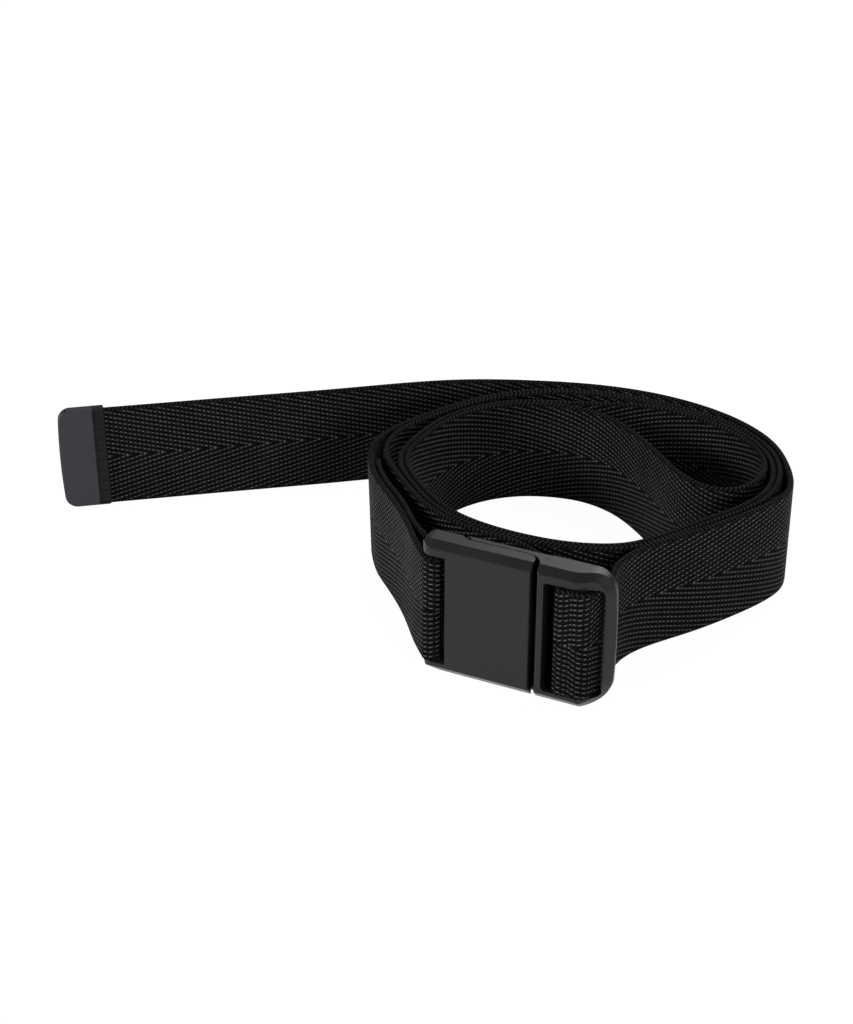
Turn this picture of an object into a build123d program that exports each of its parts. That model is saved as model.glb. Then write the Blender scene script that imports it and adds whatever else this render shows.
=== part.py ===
from build123d import *
import math
import os

# A 38 mm luggage strap: one length of webbing wound into a loose coil that stands on its
# edge, with a two-part slide-and-lift magnetic buckle, an end loop sewn round the latch,
# a free tail that runs back out of the base, and a moulded cap on the tail's end.
#
# Millimetres, +Z up. X runs along the buckle from latch to base, and the buckle's front
# face looks along -Y. The origin is on the floor under the base's slotted frame.

# ---- webbing ----
webbing_width = 38.0
webbing_thickness = 2.0
ply_gap = 0.2              # air left between two plies that lie together
wrap_gap = 0.1             # air left between the webbing and the bar it turns round
fold_back_length = 58.0    # the sewn-down end behind the latch
fold_back_plies = 1.05     # how far inside the outer lap it is sewn
loop_mouth_plies = 1.5     # the same distance at the loop's seam, where it still opens

# ---- buckle envelope ----
buckle_height = 49.4
front_y = -3.8             # the flat front faces
buckle_thickness = 8.3
edge_bevel = 2.3           # front edges, along the top and round the base's end
foot_bevel = 3.5           # lower front edge
rear_round = 0.6           # long rear edges
side_play = 0.8            # slot height beyond the webbing's width, each side
cover_thickness = 6.3      # the latch in front of the tongue
slide_gap = 0.2            # running clearance between the sliding faces

# ---- latch half ----
latch_length = 37.0
latch_plate_start = 8.6    # nose to the plate
latch_bar_diameter = 3.3
latch_bar_inset = 2.6      # nose to the bar's axis
nose_round = 3.6
latch_corner = 2.4         # upper corner of the nose, seen from the front
latch_foot_corner = 8.0
slot_mouth_round = 2.4     # the nose's upper arm, where the webbing leaves the slot
arm_round_share = 0.49     # the most of the arm's height that each of its two rounds takes
latch_bar_seat = 0.6       # how deep the bar's ends stand in the arms
parting_round = 3.0        # rear corner that rolls down into the parting gap
step_start = 11.0          # where the full-thickness nose steps down to the cover

# ---- base half ----
base_length = 24.3
parting_gap = 2.0
base_strip = 2.4           # from the parting gap to the slot
inner_gap = 5.2            # slot between strip and centre bar
centre_bar_width = 8.4
centre_bar_thickness = 3.5
centre_bar_set_back = 1.2  # front face of the buckle to the front of the bar
end_bar_width = 3.2
end_bow = 1.3              # how far the end bar bulges beyond its two corners
base_corner = 7.5          # upper corner of the base's end, seen from the front
base_foot_corner = 12.0
base_swell = 0.8           # how far the base's rear bulges in plan
shoulder_start = 14.0      # end of the base to where the front face starts to fall back
shoulder_drop = 4.2
slot_corner = 1.2
small_round = 0.8

# ---- slide lock ----
slide_travel = 10.0
lip_length = 8.5
lip_spacing = 20.0         # between the middles of a side's two lips
lip_reach = 1.6
lip_thickness = 0.9
block_width = 11.0
block_length = 29.0
block_offset = 23.0        # nose to the middle of the block
keeper_thickness = 1.4
keeper_seat = 1.8          # ledge that carries the keeper all round
lock_gap = 0.3             # sideways play of the block in its pocket
end_gap = 0.2
magnet_width = 8.0
magnet_height = 10.0
magnet_thickness = 2.0
magnet_spacing = 16.0
magnet_fit = 0.1
magnet_cap_thickness = 0.8
magnet_cap_lap = 1.2

# ---- tip cap ----
cap_length = 12.8          # smooth end
cap_band = 4.2             # crimped band behind the smooth end
cap_wall = 0.9
cap_overhang = 0.7         # mean of the cap beyond the webbing's two edges
cap_sag = 0.3              # how much lower than the webbing the cap sits
cap_corner = 4.6
cap_bow = 0.8              # how far the end bulges beyond its corners
cap_end_wall = 3.0
cap_round = 0.7            # outer edges, all round
cap_rim = 0.8              # raised lip at the mouth
crimp_depth = 0.4
crimp_rows = 9

# ---- derived places ----
nose_x = -49.1
latch_end_x = nose_x + latch_length
base_start_x = latch_end_x + parting_gap
base_end_x = base_start_x + base_length
slot_start_x = base_start_x + base_strip
slot_end_x = base_end_x - end_bar_width
centre_bar_x = slot_start_x + inner_gap + centre_bar_width / 2
plate_start_x = nose_x + latch_plate_start
latch_bar_x = nose_x + latch_bar_inset
step_x = nose_x + step_start
rear_y = front_y + buckle_thickness
cover_rear_y = front_y + cover_thickness
tongue_front_y = cover_rear_y + slide_gap
middle_z = buckle_height / 2
slot_height = webbing_width + 2 * side_play
block_x = nose_x + block_offset
block_z = middle_z + slide_travel / 2
keeper_front_y = cover_rear_y - keeper_thickness
lip_rear_y = keeper_front_y - slide_gap / 2
lip_front_y = lip_rear_y - lip_thickness
pocket_floor_y = lip_front_y - slide_gap
pocket_width = block_width + 2 * lip_reach + 2 * lock_gap
pocket_length = block_length + slide_travel + 2 * end_gap
ply_pitch = webbing_thickness + ply_gap

band_step = 3.0            # length of the flat facets that make up the webbing's faces
tight_step = 1.3           # the same where it turns round the centre bar

# ---- how the coil stands ----
# The webbing is held up by the buckle at the front and touches the floor at the back, so
# its two edges lie in parallel planes that fall gently away from the buckle.
fall_heading = 115.0       # plan direction of the steepest fall, degrees from +X
fall_reach = 153.0         # distance over which the edge comes down to the floor
edge_raise = (buckle_height - webbing_width) / 2
edge_fall = edge_raise / fall_reach

# ---- the webbing's route in plan ----
# Hand-chosen centre-line points. Plies that lie together share one list and are set off
# from it by whole plies. Every list runs clockwise seen from above. The two points that
# stand beside the base's centre bar move with it.
seam_point = (-55.0, 6.0)
left_rise = [
    (-61.7, 14.8), (-71.2, 25.9), (-79.4, 34.2), (-86.2, 41.2), (-92.2, 49.6),
    (-96.8, 58.4), (-98.6, 67.4), (-97.2, 77.5),
]
back_plies = [
    (-93.2, 88.6), (-87.0, 101.5), (-79.6, 113.5), (-68.5, 124.6), (-54.5, 132.8),
    (-38.0, 136.9), (-21.0, 137.4), (-5.5, 135.3), (7.5, 131.4), (18.0, 125.6),
    (27.0, 117.6), (34.2, 105.5), (37.3, 91.5),
]
inner_plies = [
    (34.3, 81.0), (31.0, 72.0), (25.7, 62.4), (18.9, 51.8), (12.0, 41.3), (5.6, 33.4),
    (-3.0, 28.6), (-13.4, 25.8), (-24.5, 25.0), (-37.0, 26.1), (-49.0, 30.0),
    (-61.0, 36.3), (-72.0, 44.9), (-80.6, 53.8), (-84.6, 63.5), (-85.0, 75.0),
    (-83.6, 88.0), (-79.5, 99.3), (-72.0, 109.2), (-62.2, 116.0), (-51.5, 119.4),
]
crossing = [(-52.8, 122.0), (-43.5, 125.2), (-33.0, 129.2), (-20.5, 132.4)]
hairpin = [
    (29.3, 105.0), (30.4, 96.5), (29.1, 88.6), (25.4, 82.8), (19.8, 80.5), (13.6, 81.4),
]
wave = [
    (8.0, 84.3), (2.1, 89.0), (-5.2, 96.3), (-12.6, 103.5), (-20.0, 109.9),
    (-27.0, 114.9), (-34.5, 118.4), (-43.0, 120.1),
]
left_fall = [(-94.6, 77.5), (-94.2, 67.0), (-91.0, 58.3), (-84.6, 50.4)]
base_approach = [(-27.0, 19.3), (-18.2, 15.6), (-10.6, 10.8), (centre_bar_x - 7.9, 5.4)]
tail_rise = [
    (centre_bar_x + 6.3, 7.0), (8.9, 17.0), (11.2, 27.5), (16.0, 38.4), (22.6, 48.9), (29.2, 59.3),
    (35.3, 70.3), (40.0, 80.8), (41.8, 90.0), (40.6, 97.0), (37.6, 104.6), (33.3, 112.8),
    (26.5, 122.3), (16.6, 130.7), (5.0, 136.9), (-8.5, 141.0), (-25.9, 142.9),
    (-48.1, 140.4), (-69.4, 134.0), (-89.9, 125.3), (-109.0, 113.2), (-127.0, 99.6),
]
tail_heading = 216.1       # plan direction of the straight end
tail_straight = 105.6      # from the last point above to the outside of the tip cap


def plan_box(x0, x1, y0, y1, z0, z1):
    """Block between two corners."""
    return Pos((x0 + x1) / 2, (y0 + y1) / 2, (z0 + z1) / 2) * Box(x1 - x0, y1 - y0, z1 - z0)


def webbing_slab():
    """The space between the coil's lower and upper edges."""
    heading = math.radians(fall_heading)
    along = Vector(math.cos(heading), math.sin(heading), 0)
    across = Vector(0, 0, 1).cross(along)
    near = -2 * fall_reach
    far = 2 * fall_reach
    section = Plane(origin=(0, 0, 0), x_dir=along, z_dir=-across)
    outline = Polyline(
        (near, edge_raise - edge_fall * near),
        (far, edge_raise - edge_fall * far),
        (far, edge_raise - edge_fall * far + webbing_width),
        (near, edge_raise - edge_fall * near + webbing_width),
        close=True,
    )
    face = section * make_face(outline)
    return extrude(face, amount=2 * fall_reach, both=True)


def beside(points, plies):
    """The same points set off to the left by a number of plies."""
    shift = plies * ply_pitch
    moved = []
    for index, (x, y) in enumerate(points):
        before = points[max(index - 1, 0)]
        after = points[min(index + 1, len(points) - 1)]
        run = math.dist(before, after)
        moved.append((
            x - shift * (after[1] - before[1]) / run,
            y + shift * (after[0] - before[0]) / run,
        ))
    return moved


def arc_points(centre, radius, angles):
    """Points on a circle, angles in degrees."""
    points = []
    for angle in angles:
        turn = math.radians(angle)
        points.append((centre[0] + radius * math.cos(turn), centre[1] + radius * math.sin(turn)))
    return points


def round_centre_bar():
    """Route over the front of the base's centre bar, from the inner gap to the outer one."""
    corner = centre_bar_corner()
    reach = corner + wrap_gap + webbing_thickness / 2
    inset = centre_bar_width / 2 - corner
    middle_y = front_y + centre_bar_set_back + corner
    first = arc_points((centre_bar_x - inset, middle_y), reach, (180, 210, 240, 270))
    second = arc_points((centre_bar_x + inset, middle_y), reach, (270, 300, 330, 360))
    return first + second


def centre_bar_corner():
    return 0.45 * centre_bar_thickness


def tangent_angle(point, centre, radius, side):
    """Angle of the place where a line from a point touches a circle, on one side."""
    bearing = math.atan2(point[1] - centre[1], point[0] - centre[0])
    spread = math.acos(radius / math.dist(point, centre))
    return math.degrees(bearing + side * spread)


def loop_legs():
    """The loop's circle and the angles where its two legs leave it."""
    centre = (latch_bar_x, 0)
    radius = (latch_bar_diameter + webbing_thickness) / 2 + wrap_gap
    outer_foot = seam_point
    inner_foot = beside([seam_point] + left_rise, -loop_mouth_plies)[0]
    leave = tangent_angle(outer_foot, centre, radius, 1)
    arrive = tangent_angle(inner_foot, centre, radius, -1)
    return centre, radius, leave, arrive, inner_foot


def beyond(start, end, extra):
    """The point that lies past the end of a straight run."""
    run = math.dist(start, end)
    share = (run + extra) / run
    return (start[0] + share * (end[0] - start[0]), start[1] + share * (end[1] - start[1]))


def seam_block():
    """Everything on the bar's side of the seam, where the loop meets the laps."""
    centre, radius, leave, arrive, inner_foot = loop_legs()
    touch = arc_points(centre, radius, (leave,))[0]
    toward_bar = Vector(touch[0] - seam_point[0], touch[1] - seam_point[1], 0)
    plane = Plane(origin=(*seam_point, 0), x_dir=toward_bar, z_dir=(0, 0, 1))
    side = buckle_height
    return plane * Pos(side / 2, 0, middle_z) * Box(side, side, 2 * side)


def straight_end(start, length):
    """Points along the straight tail."""
    turn = math.radians(tail_heading)
    steps = (0.35, 0.7, 1.0)
    return [
        (start[0] + step * length * math.cos(turn), start[1] + step * length * math.sin(turn))
        for step in steps
    ]


def strap_laps():
    """The strap's route from the latch bar to the free end, as named lists of plan points."""
    centre, radius, leave, arrive, inner_foot = loop_legs()
    bar_foot = arc_points(centre, radius, (leave,))
    fall_plies = beside(inner_plies, 2)[9:13]
    return {
        "strap_outer_lap": bar_foot + [seam_point] + left_rise + back_plies,
        "strap_inner_lap": beside(inner_plies, 1)[:-1] + crossing,
        "strap_turn_back": beside(back_plies, -2)[7:-2] + hairpin + wave,
        "strap_return_lap": inner_plies[::-1],
        "strap_adjuster_lap": (
            beside(back_plies, -1)[::-1] + left_fall + fall_plies[::-1] + base_approach
        ),
        "strap_bar_turn": round_centre_bar() + tail_rise[:1],
        "strap_tail": tail_rise[1:] + straight_end(tail_rise[-1], tail_straight - cap_end_wall),
    }


def chord_shares(points):
    """How far along the route each point lies, as a share of the whole."""
    reached = [0.0]
    for before, after in zip(points, points[1:]):
        reached.append(reached[-1] + math.dist(before, after))
    return [distance / reached[-1] for distance in reached]


def side_of(route, offset, start, end, samples):
    """A line of short chords beside a stretch of the route, offset to its left."""
    points = []
    for step in range(samples + 1):
        share = start + (end - start) * step / samples
        place = route @ share
        heading = route % share
        points.append((place.X - offset * heading.Y, place.Y + offset * heading.X))
    return Polyline(*points)


def webbing_run(route, start, end, slab, step=band_step):
    """Webbing on its edge along a stretch of a route, trimmed to the coil's two edges."""
    samples = round(route.length * (end - start) / step)
    half = webbing_thickness / 2
    left = side_of(route, half, start, end, samples)
    right = side_of(route, -half, start, end, samples)
    near_end = Line(left @ 0, right @ 0)
    far_end = Line(left @ 1, right @ 1)
    face = make_face([left, far_end, right, near_end])
    return stand_up(face, slab)


def stand_up(face, slab):
    """A wall above a plan section, trimmed to the coil's two edges."""
    wall = extrude(Pos(0, 0, -buckle_height) * face, amount=3 * buckle_height)
    return wall & slab


def strap_pieces(slab):
    """Every run of the one length of webbing, apart from the loop round the latch bar."""
    laps = strap_laps()
    points = [point for lap in laps.values() for point in lap]
    shares = chord_shares(points)
    route = Spline(*points)
    pieces = {}
    start = 0.0
    last = -1
    for name, lap in laps.items():
        last += len(lap)
        end = shares[last]
        step = tight_step if name == "strap_bar_turn" else band_step
        pieces[name] = webbing_run(route, start, end, slab, step)
        start = end
    pieces["strap_outer_lap"] -= seam_block()
    return pieces


def strap_fold_back(slab):
    """The webbing's sewn-down end, inside the outer lap."""
    centre, radius, leave, arrive, inner_foot = loop_legs()
    bar_foot = arc_points(centre, radius, (arrive,))
    points = bar_foot + [inner_foot] + beside([seam_point] + left_rise, -fold_back_plies)[1:]
    route = Spline(*points)
    end = (math.dist(*points[:2]) + fold_back_length) / route.length
    return webbing_run(route, 0.0, end, slab) - seam_block()


def strap_end_loop(slab):
    """The sewn loop round the latch bar, cut off square at the seam."""
    centre, radius, leave, arrive, inner_foot = loop_legs()
    first = arc_points(centre, radius, (leave,))[0]
    last = arc_points(centre, radius, (arrive,))[0]
    overrun = webbing_thickness / 4
    outer_leg = trace(Line(seam_point, first), webbing_thickness)
    turn = trace(CenterArc(centre, radius, leave, arrive - leave + 360), webbing_thickness)
    inner_leg = trace(Line(last, beyond(last, inner_foot, overrun)), webbing_thickness)
    loop = stand_up(outer_leg, slab) + stand_up(turn, slab) + stand_up(inner_leg, slab)
    return loop & seam_block()


def envelope(section, x0, x1):
    """The buckle's long section, with its broken front edges, as a bar from x0 to x1."""
    plane = Plane(origin=(x0, 0, 0), x_dir=(0, 1, 0), z_dir=(1, 0, 0))
    return extrude(plane * section, amount=x1 - x0)


def long_section(rear):
    """Section across the buckle: bevelled in front, softly rounded behind."""
    outline = Polyline(
        (front_y, foot_bevel),
        (front_y + foot_bevel, 0),
        (rear, 0),
        (rear, buckle_height),
        (front_y + edge_bevel, buckle_height),
        (front_y, buckle_height - edge_bevel),
        close=True,
    )
    face = make_face(outline)
    rear_corners = face.vertices().group_by(Axis.X)[-1]
    return fillet(rear_corners, rear_round)


def latch_outline():
    """The latch seen from the front, as a block through Y: rounded nose with its slot."""
    slot_top = middle_z + slot_height / 2
    arm_round = arm_round_share * (buckle_height - slot_top)
    block = plan_box(nose_x, latch_end_x, front_y, rear_y, 0, buckle_height)
    block = fillet(nearest_edge(block, nose_x, 0), latch_foot_corner)
    block = fillet(nearest_edge(block, nose_x, buckle_height), min(latch_corner, arm_round))
    block -= plan_box(
        nose_x, plate_start_x, front_y, rear_y, middle_z - slot_height / 2, slot_top
    )
    return fillet(nearest_edge(block, nose_x, slot_top), min(slot_mouth_round, arm_round))


def nearest_edge(block, x, z):
    """The edge through Y that lies nearest to a place seen from the front."""
    return block.edges().filter_by(Axis.Y).sort_by_distance((x, front_y, z))[0]


def base_outline(left_x):
    """The base seen from the front, as a block through Y: a D whose right end bulges."""
    corner_x = base_end_x - end_bow
    top = Line((left_x, buckle_height), (corner_x, buckle_height))
    bulge = ThreePointArc((corner_x, buckle_height), (base_end_x, middle_z), (corner_x, 0))
    bottom = Line((corner_x, 0), (left_x, 0))
    left = Line((left_x, 0), (left_x, buckle_height))
    face = Plane.XZ * make_face([top, bulge, bottom, left])
    block = extrude(face, amount=buckle_height, both=True)
    block = fillet(nearest_edge(block, corner_x, 0), base_foot_corner)
    return fillet(nearest_edge(block, corner_x, buckle_height), base_corner)


def corner_near(face, x, y):
    """The plan corner of a face at a given place."""
    return face.vertices().sort_by_distance((x, y, 0))[0]


def latch_plan():
    """The latch from above: round nose, full-thickness root, thinner cover."""
    step_run = rear_y - cover_rear_y
    outline = Polyline(
        (nose_x, front_y),
        (latch_end_x, front_y),
        (latch_end_x, cover_rear_y),
        (step_x + step_run, cover_rear_y),
        (step_x, rear_y),
        (nose_x, rear_y),
        close=True,
    )
    face = make_face(outline)
    face = fillet(corner_near(face, nose_x, front_y), nose_round)
    face = fillet(corner_near(face, nose_x, rear_y), nose_round)
    face = fillet(corner_near(face, latch_end_x, cover_rear_y), parting_round)
    face = fillet(corner_near(face, latch_end_x, front_y), small_round)
    return face


def block_box(width, length, y0, y1, centre_z):
    """A block on the lock's axis."""
    return plan_box(
        block_x - width / 2, block_x + width / 2, y0, y1,
        centre_z - length / 2, centre_z + length / 2,
    )


def lips(width, reach, y0, y1):
    """Four lips, two on each side, that start width apart and stand inwards or outwards."""
    pieces = []
    for side in (-1, 1):
        for end in (-1, 1):
            x_root = block_x + side * width / 2
            x_tip = x_root + side * reach
            z = block_z + end * lip_spacing / 2
            pieces.append(plan_box(
                min(x_root, x_tip), max(x_root, x_tip), y0, y1,
                z - lip_length / 2, z + lip_length / 2,
            ))
    return pieces


def magnet_places():
    return [block_z - magnet_spacing / 2, block_z + magnet_spacing / 2]


def magnet_bar(y0, y1, z, growth=0.0):
    """A magnet, or its pocket when it grows."""
    return block_box(magnet_width + growth, magnet_height + growth, y0, y1, z)


def latch_cover():
    """Front half: nose with the webbing bar, and the cover over the slide lock."""
    body = extrude(latch_plan(), amount=buckle_height)
    body = body & envelope(long_section(rear_y), nose_x, latch_end_x)
    body = body & latch_outline()
    bar_height = slot_height + 2 * latch_bar_seat
    body += Pos(latch_bar_x, 0, middle_z) * Cylinder(latch_bar_diameter / 2, bar_height)
    seat = 2 * keeper_seat
    body -= block_box(
        pocket_width + seat, pocket_length + seat, keeper_front_y, rear_y, middle_z
    )
    body -= block_box(pocket_width, pocket_length, pocket_floor_y, rear_y, middle_z)
    for z in magnet_places():
        body -= magnet_bar(latch_magnet_front_y(), rear_y, z, 2 * magnet_fit)
    return body


def latch_magnet_front_y():
    return pocket_floor_y - slide_gap / 2 - magnet_thickness


def latch_magnet(z):
    """A magnet let into the pocket's floor."""
    front = latch_magnet_front_y()
    return magnet_bar(front, front + magnet_thickness, z)


def latch_keeper():
    """Plate welded into the cover's back, with four lips that hold the block in."""
    seat = 2 * keeper_seat - 2 * magnet_fit
    plate = block_box(
        pocket_width + seat, pocket_length + seat, keeper_front_y, cover_rear_y, middle_z
    )
    plate -= block_box(pocket_width, pocket_length, keeper_front_y, cover_rear_y, middle_z)
    for lip in lips(pocket_width, -lip_reach, keeper_front_y, cover_rear_y):
        plate += lip
    return plate


def base_plan():
    """The base from above: thin tongue behind the latch, then the slotted frame.

    The front face falls back in a slow S towards the end bar, and the rear swells a little.
    """
    tongue_start_x = step_x + (rear_y - tongue_front_y) + slide_gap
    bevel_end_x = tongue_start_x + rear_y - tongue_front_y
    corner_round = parting_round + parting_gap
    shoulder_x = base_end_x - shoulder_start
    bar_front = front_y + shoulder_drop
    swell_x = (slot_start_x + slot_end_x) / 2
    tongue = Polyline(
        (base_start_x, rear_y),
        (tongue_start_x, rear_y),
        (bevel_end_x, tongue_front_y),
        (base_start_x, tongue_front_y),
        (base_start_x, front_y),
        (shoulder_x, front_y),
    )
    shoulder = Spline(
        (shoulder_x, front_y), (base_end_x, bar_front), tangents=[(1, 0), (1, 0)]
    )
    end = Line((base_end_x, bar_front), (base_end_x, rear_y))
    rear = ThreePointArc((base_end_x, rear_y), (swell_x, rear_y + base_swell), (base_start_x, rear_y))
    face = make_face([tongue, shoulder, end, rear])
    face = fillet(corner_near(face, base_start_x, tongue_front_y), corner_round)
    return fillet(corner_near(face, base_end_x, rear_y), 2 * small_round)


def base_shell():
    """The base without its slot: its plan cut to the D, bevelled all round the front."""
    left_x = nose_x + step_start
    body = extrude(base_plan(), amount=buckle_height)
    body = body & base_outline(left_x)
    rim = [edge for edge in body.edges() if runs_round_front(edge)]
    body = chamfer(rim, edge_bevel)
    body = body & envelope(long_section(rear_y + base_swell), left_x, base_end_x)
    front_corner = body.edges().filter_by(Axis.Z).sort_by_distance((base_start_x, front_y, middle_z))
    return fillet(front_corner[0], small_round)


def runs_round_front(edge):
    """Whether an edge runs along the outline of the base's front face."""
    middle = edge @ 0.5
    off_outline = min(base_end_x - middle.X, middle.Z, buckle_height - middle.Z)
    in_front = middle.Y < front_y + shoulder_drop + small_round
    return middle.X > base_start_x + small_round and in_front and off_outline < base_foot_corner


def base_frame():
    """Rear half: tongue with the lock's block, slotted frame and centre bar."""
    body = base_shell()
    slot = plan_box(
        slot_start_x, slot_end_x, front_y - 1, rear_y + 2,
        middle_z - slot_height / 2, middle_z + slot_height / 2,
    )
    slot = fillet(slot.edges().filter_by(Axis.Y).group_by(Axis.X)[0], slot_corner)
    slot = fillet(slot.edges().filter_by(Axis.Y).group_by(Axis.X)[-1], 2 * slot_corner)
    body -= slot
    bar_front = front_y + centre_bar_set_back
    bar = plan_box(
        centre_bar_x - centre_bar_width / 2, centre_bar_x + centre_bar_width / 2,
        bar_front, bar_front + centre_bar_thickness,
        middle_z - slot_height / 2 - small_round, middle_z + slot_height / 2 + small_round,
    )
    body += fillet(bar.edges().filter_by(Axis.Z), centre_bar_corner())
    body += block_box(block_width, block_length, lip_front_y, tongue_front_y, block_z)
    for lip in lips(block_width, lip_reach, lip_front_y, lip_rear_y):
        body += lip
    cap_front_y = rear_y - magnet_cap_thickness
    for z in magnet_places():
        body -= magnet_bar(cap_front_y - magnet_thickness, cap_front_y, z, 2 * magnet_fit)
    body -= magnet_cap_block(magnet_fit)
    return body


def magnet_cap_block(growth):
    """The cap over the base's magnets, or its recess when it grows."""
    lap = 2 * (magnet_cap_lap + growth)
    width = magnet_width + lap
    length = magnet_spacing + magnet_height + lap
    block = block_box(width, length, rear_y - magnet_cap_thickness, rear_y, block_z)
    return fillet(block.edges().filter_by(Axis.Y), slot_corner)


def base_magnet(z):
    """A magnet let into the block from behind."""
    rear = rear_y - magnet_cap_thickness
    return magnet_bar(rear - magnet_thickness, rear, z)


def cap_outline(height):
    """The cap from the side: bulging end at X 0, square mouth."""
    length = cap_length + cap_band
    low = -height / 2 - cap_sag
    high = height / 2 - cap_sag
    end = ThreePointArc((cap_bow, low), (0, -cap_sag), (cap_bow, high))
    top = Line((cap_bow, high), (length, high))
    mouth = Line((length, high), (length, low))
    bottom = Line((length, low), (cap_bow, low))
    face = make_face([end, top, mouth, bottom])
    face = fillet(face.vertices().group_by(Axis.X)[0], cap_corner)
    return fillet(face.vertices().group_by(Axis.X)[-1], cap_round)


def crimp_cut(height):
    """Recess of the crimped band on one side, with the ribs that grip the webbing left in."""
    start = cap_length
    end = cap_length + cap_band - cap_rim
    inset = height / 2 - cap_wall
    pitch = 2 * inset / crimp_rows
    recess = plan_box(start, end, 0, crimp_depth, -inset - cap_sag, inset - cap_sag)
    for row in range(1, crimp_rows):
        z = -inset - cap_sag + row * pitch
        rib = plan_box(start, end, 0, crimp_depth / 2, z - pitch / 6, z + pitch / 6)
        recess -= rib
    return recess


def tip_cap():
    """Moulded cap on the free end: smooth rounded tip, crimped band and lip."""
    turn = math.radians(tail_heading)
    ahead = Vector(math.cos(turn), math.sin(turn), 0)
    tip = Vector(*tail_rise[-1], 0) + ahead * tail_straight
    fall = math.radians(fall_heading)
    low = edge_raise - edge_fall * (tip.X * math.cos(fall) + tip.Y * math.sin(fall))
    middle = low + webbing_width / 2
    frame = Plane(origin=(tip.X, tip.Y, middle), x_dir=-ahead, z_dir=(0, 0, 1))
    thickness = webbing_thickness + 2 * cap_wall
    height = webbing_width + 2 * cap_overhang
    body = extrude(Plane.XZ * cap_outline(height), amount=thickness / 2, both=True)
    rims = body.edges().group_by(Axis.Y)
    body = fillet(rims[0] + rims[-1], cap_round)
    near = Pos(0, thickness / 2 - crimp_depth, 0) * crimp_cut(height)
    body -= near
    body -= mirror(near, Plane.XZ)
    mouth = cap_length + cap_band - cap_end_wall
    body -= Pos(cap_end_wall + mouth / 2, 0, 0) * Box(
        mouth, webbing_thickness + 2 * magnet_fit, webbing_width + 2 * magnet_fit
    )
    return frame * body


def save(name, shape):
    """Write one node's solids."""
    shape.label = name
    export_step(shape, os.path.join("parts", name + ".step"))


def main():
    os.makedirs("parts", exist_ok=True)
    slab = webbing_slab()
    low_magnet, high_magnet = magnet_places()
    nodes = {
        "base_frame": base_frame(),
        "base_magnet_lower": base_magnet(low_magnet),
        "base_magnet_upper": base_magnet(high_magnet),
        "base_magnet_cap": magnet_cap_block(0),
        "latch_cover": latch_cover(),
        "latch_keeper": latch_keeper(),
        "latch_magnet_lower": latch_magnet(low_magnet),
        "latch_magnet_upper": latch_magnet(high_magnet),
        "tip_cap": tip_cap(),
        "strap_end_loop": strap_end_loop(slab),
        "strap_fold_back": strap_fold_back(slab),
    }
    nodes.update(strap_pieces(slab))
    for name, shape in nodes.items():
        save(name, shape)


if __name__ == "__main__":
    main()
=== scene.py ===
"""Luggage strap: coiled herringbone webbing, slide-and-lift magnetic buckle, moulded tip cap."""
from __future__ import annotations

import logging
import math
from dataclasses import dataclass, field, replace
from typing import Any

import bpy
import numpy as np
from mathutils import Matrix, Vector


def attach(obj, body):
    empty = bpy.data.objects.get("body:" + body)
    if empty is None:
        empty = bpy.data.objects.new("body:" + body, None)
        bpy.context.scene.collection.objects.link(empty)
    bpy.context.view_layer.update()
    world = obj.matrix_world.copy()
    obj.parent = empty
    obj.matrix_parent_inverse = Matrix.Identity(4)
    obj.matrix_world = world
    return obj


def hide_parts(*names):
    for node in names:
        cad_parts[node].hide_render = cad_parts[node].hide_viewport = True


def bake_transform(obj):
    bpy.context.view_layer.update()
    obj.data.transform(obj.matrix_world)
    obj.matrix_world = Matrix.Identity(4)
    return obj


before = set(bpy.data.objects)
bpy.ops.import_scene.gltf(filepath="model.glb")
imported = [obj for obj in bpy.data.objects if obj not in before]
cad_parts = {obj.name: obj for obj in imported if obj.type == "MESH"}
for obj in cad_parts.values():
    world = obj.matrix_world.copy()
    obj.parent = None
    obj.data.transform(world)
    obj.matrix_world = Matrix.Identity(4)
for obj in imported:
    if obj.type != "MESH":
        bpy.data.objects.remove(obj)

log = logging.getLogger("strap")

MM = 0.001
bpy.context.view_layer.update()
Point = tuple[float, float]
Colour = tuple[float, float, float]


# ---------------------------------------------------------------- shader maths

class Graph:
    """A node tree under construction."""

    def __init__(self, tree: bpy.types.NodeTree) -> None:
        """Takes a tree over and empties it."""
        self.tree = tree
        self.tree.nodes.clear()

    def node(
        self,
        kind: str,
        settings: dict[str, Any] | None = None,
        sockets: dict[str | int, Any] | None = None,
    ) -> bpy.types.Node:
        """Adds a node.

        Args:
            kind: the node's type.
            settings: its properties, set first.
            sockets: values, sockets or signals for its inputs.

        Returns:
            The new node.
        """
        node = self.tree.nodes.new(kind)
        for key, value in (settings or {}).items():
            setattr(node, key, value)
        for key, value in (sockets or {}).items():
            self.feed(node.inputs[key], value)
        return node

    def feed(self, socket: bpy.types.NodeSocket, value: Any) -> None:
        """Links or sets one input.

        Args:
            socket: the input.
            value: a signal or an output to link, or the value to set.
        """
        if isinstance(value, Signal):
            value = value.socket
        if isinstance(value, bpy.types.NodeSocket):
            self.tree.links.new(value, socket)
        else:
            socket.default_value = value

    def signal(self, node: bpy.types.Node, output: str | int = 0) -> Signal:
        """A node's output, ready for arithmetic."""
        return Signal(self, node.outputs[output])


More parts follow.
